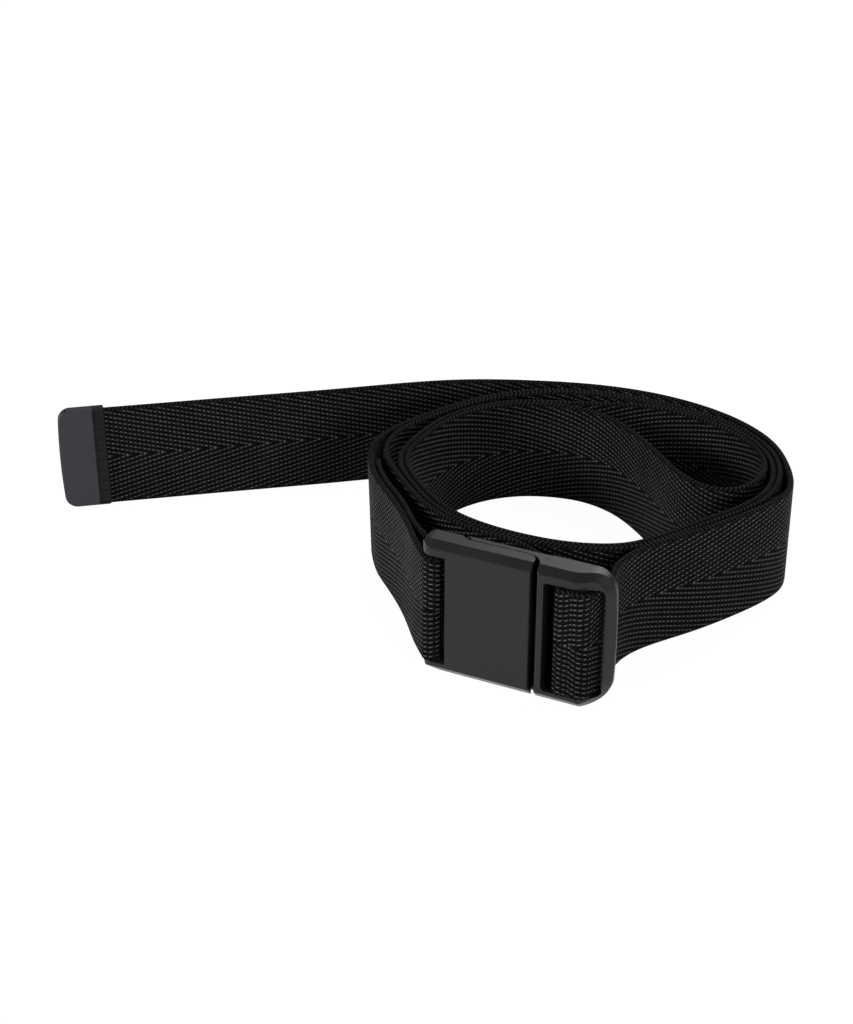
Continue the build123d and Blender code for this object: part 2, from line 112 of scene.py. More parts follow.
class Signal:
    """A shader socket that takes part in ordinary arithmetic."""

    def __init__(self, graph: Graph, socket: bpy.types.NodeSocket) -> None:
        """Wraps one output socket of a graph."""
        self.graph = graph
        self.socket = socket

    def math(self, operation: str, *values: Signal | float) -> Signal:
        """Adds a Math node.

        Args:
            operation: the Math node's operation.
            values: the further inputs.

        Returns:
            The node's result.
        """
        inputs = dict(enumerate((self, *values)))
        node = self.graph.node("ShaderNodeMath", {"operation": operation}, inputs)
        return self.graph.signal(node)

    def __add__(self, other: Signal | float) -> Signal:
        """Sum."""
        return self.math("ADD", other)

    def __radd__(self, other: float) -> Signal:
        """Sum with a number in front."""
        return self.math("ADD", other)

    def __sub__(self, other: Signal | float) -> Signal:
        """Difference."""
        return self.math("SUBTRACT", other)

    def __rsub__(self, other: float) -> Signal:
        """A number less this."""
        return self.math("MULTIPLY_ADD", -1.0, other)

    def __mul__(self, other: Signal | float) -> Signal:
        """Product."""
        return self.math("MULTIPLY", other)

    def __rmul__(self, other: float) -> Signal:
        """Product with a number in front."""
        return self.math("MULTIPLY", other)

    def __truediv__(self, other: Signal | float) -> Signal:
        """Quotient."""
        return self.math("DIVIDE", other)

    def __pow__(self, other: Signal | float) -> Signal:
        """Power."""
        return self.math("POWER", other)

    def __abs__(self) -> Signal:
        """Absolute value."""
        return self.math("ABSOLUTE")

    def floor(self) -> Signal:
        """Whole part."""
        return self.math("FLOOR")

    def fract(self) -> Signal:
        """Part after the point."""
        return self.math("FRACT")

    def wave(self) -> Signal:
        """Sine of a phase that is counted in whole turns."""
        return (self * math.tau).math("SINE")

    def at_least(self, other: Signal | float) -> Signal:
        """The larger of two."""
        return self.math("MAXIMUM", other)

    def at_most(self, other: Signal | float) -> Signal:
        """The smaller of two."""
        return self.math("MINIMUM", other)

    def ramp(self, low: float, high: float) -> Signal:
        """Smooth step from 0 to 1.

        Args:
            low: where it leaves 0.
            high: where it reaches 1.

        Returns:
            The step.
        """
        node = self.graph.node(
            "ShaderNodeMapRange",
            {"interpolation_type": "SMOOTHSTEP"},
            {"Value": self, "From Min": low, "From Max": high},
        )
        return self.graph.signal(node)


class Finish(Graph):
    """A material under construction, round one Principled shader."""

    def __init__(self, name: str) -> None:
        """Makes a node material with a Principled shader and nothing else."""
        self.material = bpy.data.materials.new(name)
        self.material.use_nodes = True
        super().__init__(self.material.node_tree)
        self.shader = self.node("ShaderNodeBsdfPrincipled")
        self.output = self.node("ShaderNodeOutputMaterial")
        self.show(self.shader)

    def show(self, shader: bpy.types.Node) -> None:
        """Makes a shader the surface's own."""
        self.feed(self.output.inputs["Surface"], shader.outputs[0])

    def coordinates(self, kind: str) -> bpy.types.NodeSocket:
        """A texture coordinate of the piece itself."""
        return self.node("ShaderNodeTexCoord").outputs[kind]

    def noise(
        self, vector: Any, scale: float, detail: float = 3.0, roughness: float = 0.5
    ) -> Signal:
        """Fractal noise, about 0.5 on average.

        Args:
            vector: where on the piece.
            scale: lumps to a unit of length.
            detail: octaves.
            roughness: how strong the finer octaves are.

        Returns:
            The noise.
        """
        return self.signal(self.node("ShaderNodeTexNoise", sockets={
            "Vector": vector, "Scale": scale, "Detail": detail, "Roughness": roughness,
        }))

    def swing(
        self, vector: Any, scale: float, amount: float, detail: float, roughness: float = 0.5
    ) -> Signal:
        """A factor that wanders on either side of 1.

        Args:
            vector: where on the piece.
            scale: lumps to a unit of length.
            amount: the whole way from its least to its most.
            detail: octaves.
            roughness: how strong the finer octaves are.

        Returns:
            The factor.
        """
        return (1 - amount / 2) + amount * self.noise(vector, scale, detail, roughness)

    def blend(self, share: Signal, first: Colour, second: Colour) -> bpy.types.NodeSocket:
        """A colour between two.

        Args:
            share: how much of the second.
            first: the colour at 0.
            second: the colour at 1.

        Returns:
            The mixed colour.
        """
        factor, colour_a, colour_b, result = 0, 6, 7, 2
        mix = self.node("ShaderNodeMix", {"data_type": "RGBA"}, {
            factor: share, colour_a: (*first, 1.0), colour_b: (*second, 1.0),
        })
        return mix.outputs[result]

    def dress(self, **sockets: Any) -> None:
        """Feeds the Principled shader's sockets, named with underscores for spaces."""
        for key, value in sockets.items():
            self.feed(self.shader.inputs[key.replace("_", " ")], value)

    def relief(self, height: Signal, distance: float, edge: float = 0.0) -> None:
        """Bump from a height between 0 and 1.

        Args:
            height: the height.
            distance: what a height of 1 stands for, in metres.
            edge: radius to which sharp edges are softened, in metres.
        """
        bump = self.node("ShaderNodeBump", sockets={"Height": height, "Distance": distance})
        if edge:
            soft = self.node("ShaderNodeBevel", {"samples": 6}, {"Radius": edge})
            self.feed(bump.inputs["Normal"], soft.outputs[0])
        self.feed(self.shader.inputs["Normal"], bump.outputs[0])


# ------------------------------------------------------------------- finishes

@dataclass(frozen=True)
class WovenPolyester:
    """Herringbone webbing: fine warp ends float over two picks and shift by one each end.

    Lengths are in millimetres. A twill's repeat is four picks long and four ends high.
    The colour carries painted highlights: a bright dash on the crown of each float and a glint
    along the plaited edges, over a near-black ground that is partly painted shade between floats.
    """

    end_pitch: float = 1.785 / 4
    pick_pitch: float = 1.6
    pick_height: float = 0.3
    float_crown: float = 0.6
    float_gap: float = 1.7
    yarn_crown: float = 0.5
    plait_pitch: float = 1.6
    plait_slant: float = 0.3
    relief: float = 0.26
    roughness: float = 0.6
    crown_polish: float = 0.2
    specular: float = 0.01
    # How much painted highlight the picks and the plaited edges get in the colour.
    pick_painted_highlight: float = 0.1
    plait_painted_highlight: float = 0.12
    rim_start: tuple[float, float] = (0.02, 0.1)
    fibre_scale: float = 0.9
    fibre_roughness: float = 0.7
    fibre_swing: float = 1.8
    cloud_scale: float = 0.09
    cloud_swing: float = 0.6
    # deep is the near-black ground: the yarn's own black, taken darker as painted shade between
    # floats. face is the peak of the painted highlight on float crowns and plaited edges.
    deep: Colour = (0.0008, 0.0008, 0.0009)
    face: Colour = (0.185, 0.185, 0.19)

    def make(self) -> bpy.types.Material:
        """Builds the material on the strip's own map, which is length and then height.

        Returns:
            The material.
        """
        cloth = Finish("woven_polyester")
        place = cloth.node("ShaderNodeUVMap", {"uv_map": "weave"}).outputs[0]
        parts = cloth.node("ShaderNodeSeparateXYZ", sockets={0: place})
        along, across = cloth.signal(parts, 0), cloth.signal(parts, 1)
        edge = cloth.node("ShaderNodeAttribute", {"attribute_name": "rim"})
        rim = abs(cloth.signal(edge, "Fac"))
        on_rim = rim.ramp(*self.rim_start)
        ends = abs(across - WEBBING.width / 2) / self.end_pitch
        turn = (along / (4 * self.pick_pitch) - ends.floor() / 4).fract()
        over = turn.wave().at_least(0.0)
        yarn = (ends.fract() / 2).wave() ** self.yarn_crown
        picks = along / (2 * self.pick_pitch)
        pick = abs(picks.wave()) * self.pick_height
        joint = abs((picks + 0.25).wave())
        plait = abs((along / (2 * self.plait_pitch) + rim * self.plait_slant).wave())
        face = (over ** self.float_crown * yarn).at_least(pick)
        height = face + (plait - face) * on_rim
        # Painted highlight: a short bright dash on the crown of each float, and a glint on the
        # plaited edge, painted into the colour.
        painted_highlight = (over * joint ** self.float_gap * yarn).at_least(pick * self.pick_painted_highlight)
        painted_highlight = painted_highlight + (self.plait_painted_highlight * plait ** 2.0 - painted_highlight) * on_rim
        fibres = cloth.swing(
            place, self.fibre_scale, self.fibre_swing, 2.0, self.fibre_roughness
        )
        clouds = cloth.swing(place, self.cloud_scale, self.cloud_swing, 1.0)
        # The tone is the painted highlight, varied at random by fibres and slow clouds.
        tone = (painted_highlight * fibres * clouds).at_most(1.0)
        # Colour runs from the near-black ground to the peak of the painted highlight.
        cloth.dress(
            Base_Color=cloth.blend(tone, self.deep, self.face),
            Roughness=self.roughness - self.crown_polish * height,
            Specular_IOR_Level=self.specular,
        )
        cloth.relief(height, self.relief * MM)
        return cloth.material


@dataclass(frozen=True)
class MouldedPlastic:
    """Spark-eroded matt plastic: fine grain, a slow change of tone, softened edges.

    The band is a duller, rougher end: all of the piece short of a distance along a heading.
    """

    name: str
    colour: Colour
    roughness: float = 0.36
    specular: float = 0.31
    grain_scale: float = 5200.0
    grain: float = 0.012
    cloud_scale: float = 60.0
    cloud_roughness: float = 0.12
    cloud_limits: tuple[float, float] = (0.3, 0.7)
    lightest: float = 1.22
    edge: float = 0.45
    band: float | None = None
    band_heading: tuple[float, float, float] = (-0.808, -0.589, 0.0)
    band_blur: float = 0.2
    band_tone: float = 0.2
    band_contrast: float = 0.8
    band_roughness: float = 0.3

    def shade(self, strength: float) -> Colour:
        """The plastic's colour, lighter or darker."""
        return tuple(strength * part for part in self.colour)

    def past_band(self, shell: Finish, place: bpy.types.NodeSocket) -> Signal:
        """Where the smooth plastic is.

        Args:
            shell: the material.
            place: the piece's own coordinates.

        Returns:
            0 in the band and 1 past it.
        """
        along = shell.signal(shell.node(
            "ShaderNodeVectorMath",
            {"operation": "DOT_PRODUCT"},
            {0: place, 1: self.band_heading},
        ), "Value")
        blur = self.band_blur * MM
        return along.ramp(self.band - blur, self.band + blur)

    def make(self) -> bpy.types.Material:
        """Builds the material on the piece's own coordinates, with the band if it has one.

        Returns:
            The material.
        """
        shell = Finish(self.name)
        place = shell.coordinates("Object")
        grain = shell.noise(place, self.grain_scale, 2.0)
        cloud = shell.noise(place, self.cloud_scale, 3.0)
        tone = cloud.ramp(*self.cloud_limits)
        rough = self.roughness + self.cloud_roughness * (cloud - 0.5)
        darkest = 1.0
        if self.band is not None:
            smooth_part = self.past_band(shell, place)
            tone = smooth_part * (self.band_contrast + (1 - self.band_contrast) * tone)
            rough = rough + self.band_roughness * (1 - smooth_part)
            darkest = self.band_tone
        shell.dress(
            Base_Color=shell.blend(tone, self.shade(darkest), self.shade(self.lightest)),
            Roughness=rough,
            Specular_IOR_Level=self.specular,
        )
        shell.relief(grain, self.grain * MM, self.edge * MM)
        return shell.material


@dataclass(frozen=True)
class NickelPlate:
    """Bright plated steel, faintly brushed."""

    colour: Colour = (0.55, 0.54, 0.51)
    roughness: float = 0.25
    brushing: float = 0.2
    streak_scale: float = 900.0

    def make(self) -> bpy.types.Material:
        """Builds the material on the piece's own coordinates.

        Returns:
            The material.
        """
        plate = Finish("nickel_plate")
        streaks = plate.noise(plate.coordinates("Object"), self.streak_scale, 2.0)
        plate.dress(
            Base_Color=(*self.colour, 1.0),
            Metallic=1.0,
            Roughness=self.roughness + self.brushing * streaks,
        )
        return plate.material


# ------------------------------------------------------------- webbing's route

@dataclass
class WebbingSizes:
    """The webbing as it comes off the roll, and how the coil stands, in millimetres."""

    width: float = 39.0
    thickness: float = 2.0
    ply_pitch: float = 2.2
    rib_pitch: float = 1.785
    rib_repeat: float = 6.4
    rib_height: float = 0.05
    edge_raise: float = 4.7
    edge_fall: float = 0.03725
    fall_heading: float = 115.0
    slot_lift: float = 0.2
    slot_reach: float = 12.0
    bars: tuple[Point, ...] = ((-46.2, 0.0), (1.7, 0.0))
    lean_back: float = 1.3
    lean_front: float = 0.3
    tuck_left: float = 0.9
    coil_middle: Point = (-27.0, 82.0)
    buckle_middle: Point = (-18.0, 0.0)
    buckle_reach: float = 30.0
    lean_onset: float = 30.0
    coil_reach: float = 100.0
    coil_fade: float = 20.0

    def low_edge(self, x: np.ndarray, y: np.ndarray) -> np.ndarray:
        """Height of the webbing's lower edge.

        It falls gently away from the buckle, and rides up a little into the two slots.

        Args:
            x: places in plan, along the buckle.
            y: places in plan, away from it.

        Returns:
            The heights.
        """
        heading = math.radians(self.fall_heading)
        away = x * math.cos(heading) + y * math.sin(heading)
        near = sum(
            np.exp(-((x - bar[0]) ** 2 + (y - bar[1]) ** 2) / self.slot_reach ** 2)
            for bar in self.bars
        )
        return self.edge_raise - self.edge_fall * away + self.slot_lift * near

    def leant(self, plan: np.ndarray, levels: np.ndarray) -> np.ndarray:
        """Lets the coil's walls lean, each side by its own amount.

        Args:
            plan: places in plan, one row per station along the strip.
            levels: the section's heights above the lower edge.

        Returns:
            The places, moved at their feet away from the middle of the coil or towards it.
        """
        outward = plan - np.array(self.coil_middle)
        reach = np.hypot(outward[..., 0], outward[..., 1])
        off_buckle = np.hypot(*np.moveaxis(plan - np.array(self.buckle_middle), -1, 0))
        share = smooth((off_buckle - self.buckle_reach) / self.lean_onset)
        share *= smooth((self.coil_reach - reach) / self.coil_fade)
        outward /= reach[..., None]
        spread = (
            self.lean_back * np.maximum(outward[..., 1], 0)
            + self.lean_front * np.maximum(-outward[..., 1], 0)
            - self.tuck_left * np.maximum(-outward[..., 0], 0)
        )
        amount = spread * share * (1 - levels[None, :] / self.width)
        return plan + outward * amount[..., None]


WEBBING = WebbingSizes()


def smooth(share: np.ndarray) -> np.ndarray:
    """Smooth step from 0 to 1."""
    held = np.clip(share, 0.0, 1.0)
    return held * held * (3 - 2 * held)


def walked(places: np.ndarray) -> np.ndarray:
    """How far each place lies along the line through them all."""
    return np.concatenate([[0.0], np.cumsum(np.hypot(*np.diff(places, axis=0).T))])


class Route:
    """A smooth line in plan through given points: the line that a thin batten takes."""

    least_samples = 200
    samples_per_mm = 4

    def __init__(self, points: list[Point]) -> None:
        """Solves the natural cubic through the points, by chord length.

        Args:
            points: where the line passes, in order.
        """
        self.knots = np.array(points, float)
        self.reached = walked(self.knots)
        chords = np.hypot(*np.diff(self.knots, axis=0).T)
        count = len(points)
        system = np.eye(count)
        right = np.zeros((count, 2))
        for index in range(1, count - 1):
            before, after = chords[index - 1], chords[index]
            system[index, index - 1:index + 2] = before, 2 * (before + after), after
            slope_after = (self.knots[index + 1] - self.knots[index]) / after
            slope_before = (self.knots[index] - self.knots[index - 1]) / before
            right[index] = 6 * (slope_after - slope_before)
        self.bend = np.linalg.solve(system, right)

    def at(self, chord: np.ndarray) -> np.ndarray:
        """Places on the line.

        Args:
            chord: distances along the chords from the first point.

        Returns:
            The places, one row each.
        """
        span = np.clip(np.searchsorted(self.reached, chord, "right") - 1, 0, len(self.reached) - 2)
        run = (self.reached[span + 1] - self.reached[span])[:, None]
        after = (chord - self.reached[span])[:, None]
        before = run - after
        start, end = self.knots[span], self.knots[span + 1]
        bend_start, bend_end = self.bend[span], self.bend[span + 1]
        return (
            bend_start * before ** 3 / (6 * run) + bend_end * after ** 3 / (6 * run)
            + (start / run - bend_start * run / 6) * before
            + (end / run - bend_end * run / 6) * after
        )

    def even(self, start: float, end: float, step: float) -> tuple[np.ndarray, np.ndarray]:
        """Evenly spaced places between two chord distances.

        Args:
            start: chord distance of the first place.
            end: chord distance of the last place.
            step: wanted spacing along the line, in mm.

        Returns:
            The places, and how far along the line each lies from the first.
        """
        samples = max(self.least_samples, int((end - start) * self.samples_per_mm))
        fine = np.linspace(start, end, samples)
        gone = walked(self.at(fine))
        count = max(2, round(gone[-1] / step) + 1)
        wanted = np.linspace(0.0, gone[-1], count)
        return self.at(np.interp(wanted, gone, fine)), wanted


def beside(points: list[Point], plies: float) -> list[Point]:
    """Sets points off to the left of the line through them.

    Args:
        points: the line's points.
        plies: how many plies of webbing to go.

    Returns:
        The moved points.
    """
    shift = plies * WEBBING.ply_pitch
    moved = []
    for index, (x, y) in enumerate(points):
        before = points[max(index - 1, 0)]
        after = points[min(index + 1, len(points) - 1)]
        run = math.dist(before, after)
        moved.append((
            x - shift * (after[1] - before[1]) / run,
            y + shift * (after[0] - before[0]) / run,
        ))
    return moved


def arc(centre: Point, radius: float, angles: tuple[float, ...]) -> list[Point]:
    """Points on a circle.

    Args:
        centre: the circle's middle.
        radius: its radius.
        angles: where the points are, in degrees.

    Returns:
        The points.
    """
    return [
        (centre[0] + radius * math.cos(math.radians(angle)),
         centre[1] + radius * math.sin(math.radians(angle)))
        for angle in angles
    ]


@dataclass
class CoilRoute:
    """The webbing's route in plan, from the sewn end to the capped one, in millimetres."""

    seam: Point = (-55.0, 6.0)
    left_rise: list[Point] = field(default_factory=lambda: [
        (-61.7, 14.8), (-71.2, 25.9), (-79.4, 34.2), (-86.2, 41.2), (-92.2, 49.6),
        (-96.8, 58.4), (-98.6, 67.4), (-97.2, 77.5),
    ])
    back_plies: list[Point] = field(default_factory=lambda: [
        (-93.2, 88.6), (-87.0, 101.5), (-79.6, 113.5), (-68.5, 124.6), (-54.5, 132.8),
        (-38.0, 136.9), (-21.0, 137.4), (-5.5, 135.3), (7.5, 131.4), (18.0, 125.6),
        (27.0, 117.6), (34.2, 105.5), (37.3, 91.5),
    ])
    inner_plies: list[Point] = field(default_factory=lambda: [
        (34.3, 81.0), (31.0, 72.0), (25.7, 62.4), (19.3, 51.4), (12.9, 40.5), (6.5, 32.5),
        (-2.4, 27.4), (-13.2, 24.5), (-24.6, 23.7), (-37.4, 24.7), (-49.9, 28.0),
        (-61.6, 34.8), (-72.3, 44.3), (-80.6, 53.8), (-84.6, 63.5), (-85.0, 75.0),
        (-83.6, 88.0), (-79.5, 99.3), (-72.0, 109.2), (-62.2, 116.0), (-51.5, 119.4),
    ])
    crossing: list[Point] = field(default_factory=lambda: [
        (-52.8, 122.0), (-43.5, 125.2), (-33.0, 129.2), (-20.5, 132.4),
    ])
    hairpin: list[Point] = field(default_factory=lambda: [
        (29.3, 105.0), (30.4, 96.5), (29.1, 88.6), (25.4, 82.8), (19.8, 80.5), (13.6, 81.4),
    ])
    wave: list[Point] = field(default_factory=lambda: [
        (8.0, 84.3), (2.1, 89.0), (-5.2, 96.3), (-12.6, 103.5), (-20.0, 109.9),
        (-27.0, 114.9), (-34.5, 118.4), (-43.0, 120.1),
    ])
    left_fall: list[Point] = field(default_factory=lambda: [
        (-94.6, 77.5), (-94.2, 67.0), (-91.0, 58.3), (-84.6, 50.4),
    ])
    base_approach: list[Point] = field(default_factory=lambda: [
        (-27.0, 19.3), (-18.2, 15.6), (-10.8, 10.2), (-6.7, 4.8),
    ])
    tail_rise: list[Point] = field(default_factory=lambda: [
        (9.1, 7.0), (8.0, 16.6), (9.5, 27.4), (15.4, 38.7), (22.6, 48.9), (29.2, 59.3),
        (35.3, 70.3), (40.0, 80.8), (41.8, 90.0), (40.6, 97.0), (37.6, 104.6),
        (33.3, 112.8), (26.5, 122.3), (16.6, 130.7), (5.0, 136.9), (-8.5, 141.0),
        (-25.9, 142.9), (-48.1, 140.4), (-69.4, 134.0), (-89.9, 125.3), (-109.0, 113.2),
        (-127.0, 99.6),
    ])
    tail_heading: float = 216.1
    tail_straight: float = 102.6
    tail_shares: tuple[float, ...] = (0.35, 0.7, 1.0)
    turn_back_span: tuple[int, int] = (7, -2)
    adjuster_span: tuple[int, int] = (9, 13)
    latch_bar: Point = (-46.2, 0.0)
    latch_bar_diameter: float = 3.3
    wrap_gap: float = 0.1
    bar_corner: float = 1.575
    bar_inset: float = 2.625
    bar_middle: Point = (1.7, -1.025)
    bar_ridge: float = 0.5
    fold_back: float = 58.0
    fold_back_plies: float = 1.05
    loop_mouth_plies: float = 2.1
    loop_points: int = 8

    def loop_radius(self) -> float:
        """Radius of the webbing's middle where it turns round the latch bar."""
        return (self.latch_bar_diameter + WEBBING.thickness) / 2 + self.wrap_gap

    def touch(self, foot: Point, side: int) -> float:
        """Where a line from a point outside touches the loop's circle.

        Args:
            foot: the point outside.
            side: 1 or -1, for the one touching line or the other.

        Returns:
            The angle on the circle, in degrees.
        """
        gap = (foot[0] - self.latch_bar[0], foot[1] - self.latch_bar[1])
        bearing = math.atan2(gap[1], gap[0])
        return math.degrees(bearing + side * math.acos(self.loop_radius() / math.hypot(*gap)))

    def centre_bar(self) -> list[Point]:
        """Over the front of the base's centre bar, with a groove between two ridges.

        Returns:
            The points, from left to right.
        """
        reach = self.bar_corner + self.wrap_gap + WEBBING.thickness / 2
        x, y = self.bar_middle
        first = arc((x - self.bar_inset, y - self.bar_ridge), reach, (180, 210, 240, 270))
        groove = [(x, y - reach + self.bar_ridge / 2)]
        last = arc((x + self.bar_inset, y - self.bar_ridge), reach, (270, 300, 330, 360))
        return first + groove + last

    def tail(self) -> list[Point]:
        """The free end, straight from the coil to inside the cap.

        Returns:
            The points.
        """
        turn = math.radians(self.tail_heading)
        x, y = self.tail_rise[-1]
        return self.tail_rise[1:] + [
            (x + step * self.tail_straight * math.cos(turn),
             y + step * self.tail_straight * math.sin(turn))
            for step in self.tail_shares
        ]

    def laps(self) -> dict[str, list[Point]]:
        """The webbing's runs, in order from the latch bar to the free end.

        Returns:
            Each run's points, by name.
        """
        outer = arc(self.latch_bar, self.loop_radius(), (self.touch(self.seam, 1),))
        back_first, back_last = self.turn_back_span
        front_first, front_last = self.adjuster_span
        return {
            "outer": outer + [self.seam] + self.left_rise + self.back_plies,
            "inner": beside(self.inner_plies, 1)[:-1] + self.crossing,
            "turn_back": (
                beside(self.back_plies, -2)[back_first:back_last] + self.hairpin + self.wave
            ),
            "return": self.inner_plies[::-1],
            "adjuster": (
                beside(self.back_plies, -1)[::-1] + self.left_fall
                + beside(self.inner_plies, 2)[front_first:front_last][::-1]
                + self.base_approach
            ),
            "bar": self.centre_bar() + self.tail_rise[:1],
            "tail": self.tail(),
        }

    def sewn_end(self) -> list[Point]:
        """From the folded-back end to the bar and round it, up to the outer leg's start.

        Returns:
            The points.
        """
        foot = beside([self.seam] + self.left_rise, -self.loop_mouth_plies)[0]
        arrive = self.touch(foot, -1)
        leave = self.touch(self.seam, 1)
        behind = beside([self.seam] + self.left_rise, -self.fold_back_plies)[1:]
        turn = np.linspace(arrive + 360, leave, self.loop_points + 1)[:-1]
        return behind[::-1] + [foot] + arc(self.latch_bar, self.loop_radius(), tuple(turn))


# -------------------------------------------------------------- webbing strips

@dataclass
class Strip:
    """A stretch of webbing on its edge, as a closed woven strip."""

    name: str
    places: np.ndarray
    gone: np.ndarray
    rim_steps: int = 6
    rim_onset: float = 0.1

    def section(self) -> tuple[np.ndarray, np.ndarray, np.ndarray]:
        """The strip's section as a closed ring.

        Returns:
            Offsets to the left, heights above the lower edge, and rim marks, which are 0 on
            the faces and rise to 1 at the crest of each rounded edge.
        """
        half = WEBBING.thickness / 2
        rib = WEBBING.rib_pitch / 4
        middle = WEBBING.width / 2
        steps = math.floor((middle - half) / rib)
        heights = middle + rib * np.arange(-steps, steps + 1)
        turn = np.linspace(0, math.pi, self.rim_steps + 1)
        top = WEBBING.width - half
        offsets = [np.full(heights.size, half), half * np.cos(turn)]
        levels = [heights, top + half * np.sin(turn)]
        rims = [np.zeros(heights.size), self.rim_mark(turn)]
        offsets += [-offsets[0], -offsets[1]]
        levels += [heights[::-1], WEBBING.width - levels[1]]
        rims += [rims[0], rims[1]]
        return np.concatenate(offsets), np.concatenate(levels), np.concatenate(rims)

    def rim_mark(self, turn: np.ndarray) -> np.ndarray:
        """How far round the edge each section point lies: the onset at a face, 1 at the crest."""
        return 1 - (1 - self.rim_onset) * np.abs(turn / (math.pi / 2) - 1)

    def build(self) -> bpy.types.Object:
        """Makes the strip's mesh, its weave map and its rim attribute.

        Returns:
            The strip's object.
        """
        offsets, levels, rims = self.section()
        ring = offsets.size
        rows = len(self.places)
        heading = np.gradient(self.places, self.gone, axis=0)
        heading /= np.hypot(*heading.T)[:, None]
        left = np.stack([-heading[:, 1], heading[:, 0]], 1)
        phase = self.gone[:, None] / WEBBING.rib_repeat - (
            np.abs(levels - WEBBING.width / 2)[None, :] / WEBBING.rib_pitch
        )
        rib = WEBBING.rib_height * np.sin(math.tau * phase) * (rims == 0)[None, :]
        out = offsets[None, :] + np.sign(offsets)[None, :] * rib
        plan = WEBBING.leant(self.places[:, None, :] + left[:, None, :] * out[:, :, None], levels)
        low = WEBBING.low_edge(plan[..., 0], plan[..., 1])
        verts = np.concatenate([plan, (low + levels[None, :])[..., None]], 2).reshape(-1, 3)
        index = np.arange(rows * ring).reshape(rows, ring)
        here, along = index[:-1], index[1:]
        over = np.roll(index, -1, 1)
        quads = np.stack([here, over[:-1], over[1:], along], 2).reshape(-1, 4)
        mesh = bpy.data.meshes.new(self.name)
        caps = [index[0][::-1].tolist(), index[-1].tolist()]
        mesh.from_pydata((verts * MM).tolist(), [], quads.tolist() + caps)
        self.mark(mesh, levels, rims)
        mesh.shade_smooth()
        piece = bpy.data.objects.new(self.name, mesh)
        bpy.context.scene.collection.objects.link(piece)
        return piece

    def mark(self, mesh: bpy.types.Mesh, levels: np.ndarray, rims: np.ndarray) -> None:
        """Writes the weave map and the rim attribute.

        Args:
            mesh: the strip's mesh.
            levels: the section's heights above the lower edge.
            rims: the section's rim marks.
        """
        rows = len(self.places)
        flat = np.stack([np.repeat(self.gone, levels.size), np.tile(levels, rows)], 1)
        corner = np.empty(len(mesh.loops), np.int32)
        mesh.loops.foreach_get("vertex_index", corner)
        layer = mesh.uv_layers.new(name="weave")
        layer.uv.foreach_set("vector", flat[corner].astype(np.float32).ravel())
        attribute = mesh.attributes.new("rim", "FLOAT", "POINT")
        attribute.data.foreach_set("value", np.tile(rims, rows).astype(np.float32))


@dataclass
class Webbing:
    """The one length of webbing, in strips that follow the coil."""

    coil: CoilRoute = field(default_factory=CoilRoute)
    step: float = 1.6
    sewn_reach: float = 200.0
    lengths: list[float] = field(default_factory=list)

    def strips(self) -> list[bpy.types.Object]:
        """Builds every strip along the route, and notes each one's length.

        Returns:
            The strips, from the sewn end to the capped one.
        """
        laps = self.coil.laps()
        route = Route([point for lap in laps.values() for point in lap])
        ends = np.cumsum([len(lap) for lap in laps.values()]) - 1
        reach = dict(zip(laps, route.reached[ends]))
        places, gone = self.sewn_run(route, reach["outer"])
        pieces = [Strip("webbing_sewn_end", places, gone).build()]
        self.lengths = [gone[-1]]
        for name, start, end in (
            ("webbing_inner_coil", "outer", "return"),
            ("webbing_adjuster_lap", "return", "bar"),
            ("webbing_tail", "bar", "tail"),
        ):
            places, gone = route.even(reach[start], reach[end], self.step)
            pieces.append(Strip(name, places, gone + sum(self.lengths)).build())
            self.lengths.append(gone[-1])
        log.info("webbing: %.0f mm in %d strips", sum(self.lengths), len(pieces))
        return pieces

    def sewn_run(self, route: Route, reach: float) -> tuple[np.ndarray, np.ndarray]:
        """The folded-back end, the loop and the outer lap as one run.

        Args:
            route: the webbing's line from the loop on.
            reach: chord distance where the outer lap ends on it.

        Returns:
            The places, and how far along the webbing each lies from its cut end.
        """
        sewn = Route(self.coil.sewn_end())
        last = sewn.reached[-1]
        end, end_gone = sewn.even(max(last - self.sewn_reach, 0.0), last, self.step)
        outer, _ = route.even(0.0, reach, self.step)
        places = np.concatenate([end[self.fold_start(end, end_gone):], outer])
        return places, walked(places)

    def fold_start(self, places: np.ndarray, gone: np.ndarray) -> int:
        """Where the folded-back end is cut off.

        Args:
            places: the sewn run's places.
            gone: how far along it each lies.

        Returns:
            The first place that is kept, as an index.
        """
        foot = np.argmin(np.hypot(*(places - np.array(self.coil.seam)).T))
        return int(np.searchsorted(gone, gone[foot] - self.coil.fold_back))

    def dress(self, material: bpy.types.Material) -> None:
        """Builds, finishes and mounts the strips.

        Args:
            material: the webbing's finish.
        """
        sewn, inner, adjuster, tail = self.strips()
        for piece in (sewn, inner, adjuster, tail):
            piece.data.materials.append(material)
        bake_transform(sewn)
        for piece in (inner, adjuster, tail):
            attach(piece, "base_half")
        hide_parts("strap_fold_back", "strap_end_loop", "strap_outer_lap")
        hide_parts("strap_inner_lap", "strap_turn_back", "strap_return_lap")
        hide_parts("strap_adjuster_lap", "strap_bar_turn")
        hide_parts("strap_tail")
        for piece, length in zip((sewn, inner, adjuster, tail), self.lengths):
            log.info("%s: %d faces", piece.name, len(piece.data.polygons))


# ----------------------------------------------------------------- hard pieces

